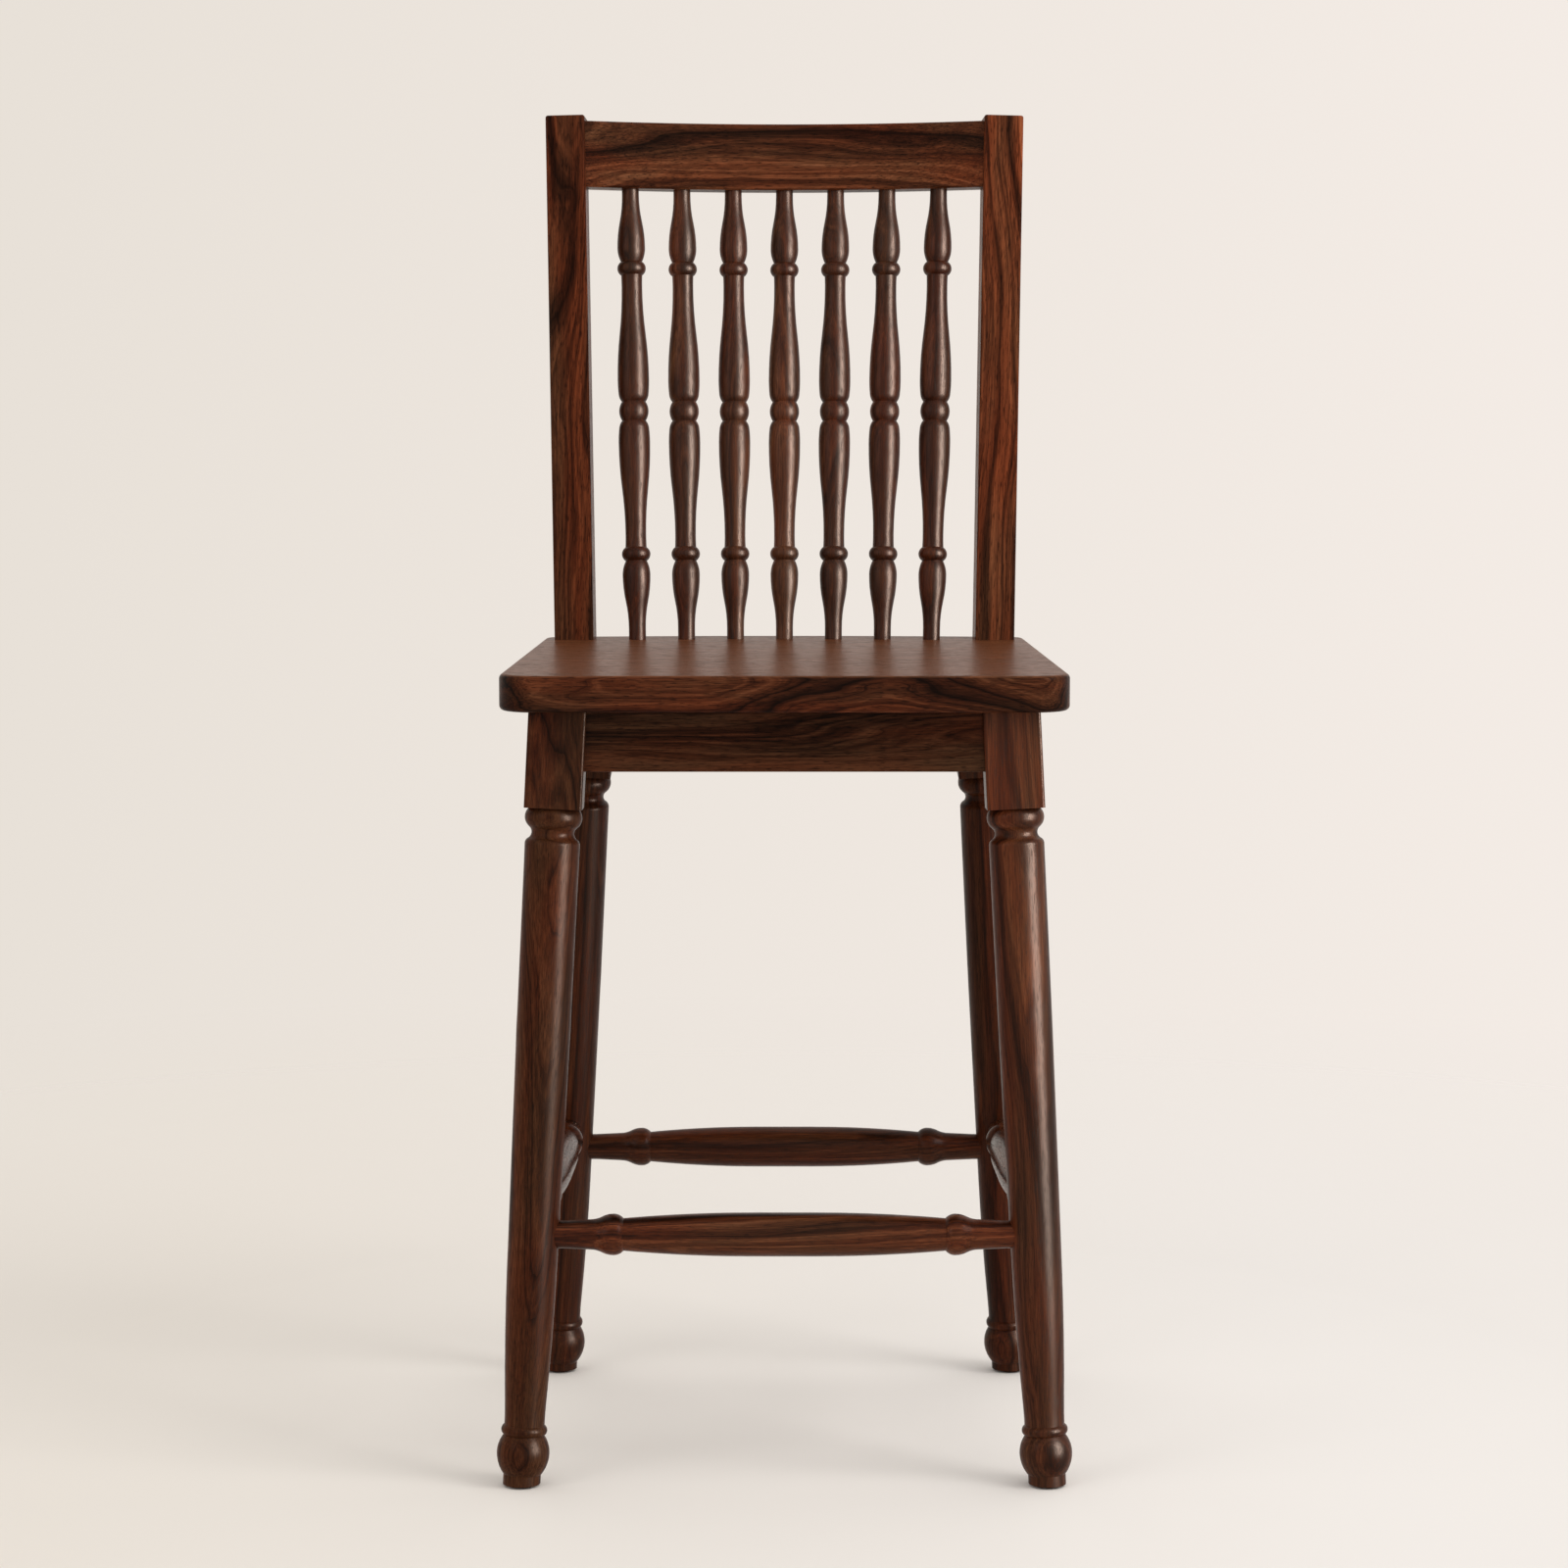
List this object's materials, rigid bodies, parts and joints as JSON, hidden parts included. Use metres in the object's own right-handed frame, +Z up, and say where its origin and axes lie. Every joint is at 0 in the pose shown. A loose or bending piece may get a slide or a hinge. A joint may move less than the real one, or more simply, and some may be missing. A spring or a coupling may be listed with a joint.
{
  "type": "spindle back bar stool",
  "caption": "Counter-height wooden stool with turned splayed legs, turned stretchers, a solid flat seat and a leaning back of turned spindles under a bowed crest rail.",
  "frame": {"origin": "on the floor, under the middle of the stool's plan box", "axes": "+X to the right of someone looking at the front, +Y from the front edge to the back, +Z up"},
  "size_m": [0.4668, 0.4819, 1.1195],
  "materials": {
    "stained_wood": "dark reddish brown walnut stain under satin lacquer, streaky long grain",
    "screw_steel": "zinc plated steel",
    "glide_plastic": "dark brown moulded nylon"
  },
  "bodies": {
    "root": {"apron_front": "stained_wood", "apron_left": "stained_wood", "apron_rear": "stained_wood", "apron_right": "stained_wood", "back_post_left": "stained_wood", "back_post_right": "stained_wood", "corner_block_front_left": "stained_wood", "corner_block_front_right": "stained_wood", "corner_block_rear_left": "stained_wood", "corner_block_rear_right": "stained_wood", "corner_block_screws": "screw_steel", "crest_rail": "stained_wood", "glide_front_left": "glide_plastic", "glide_front_right": "glide_plastic", "glide_rear_left": "glide_plastic", "glide_rear_right": "glide_plastic", "leg_front_left": "stained_wood", "leg_front_right": "stained_wood", "leg_rear_left": "stained_wood", "leg_rear_right": "stained_wood", "post_screws": "screw_steel", "seat": "stained_wood", "seat_screws": "screw_steel", "spindle_1": "stained_wood", "spindle_2": "stained_wood", "spindle_3": "stained_wood", "spindle_4": "stained_wood", "spindle_5": "stained_wood", "spindle_6": "stained_wood", "spindle_7": "stained_wood", "stretcher_front": "stained_wood", "stretcher_left": "stained_wood", "stretcher_rear": "stained_wood", "stretcher_right": "stained_wood"}
  },
  "joints": []
}
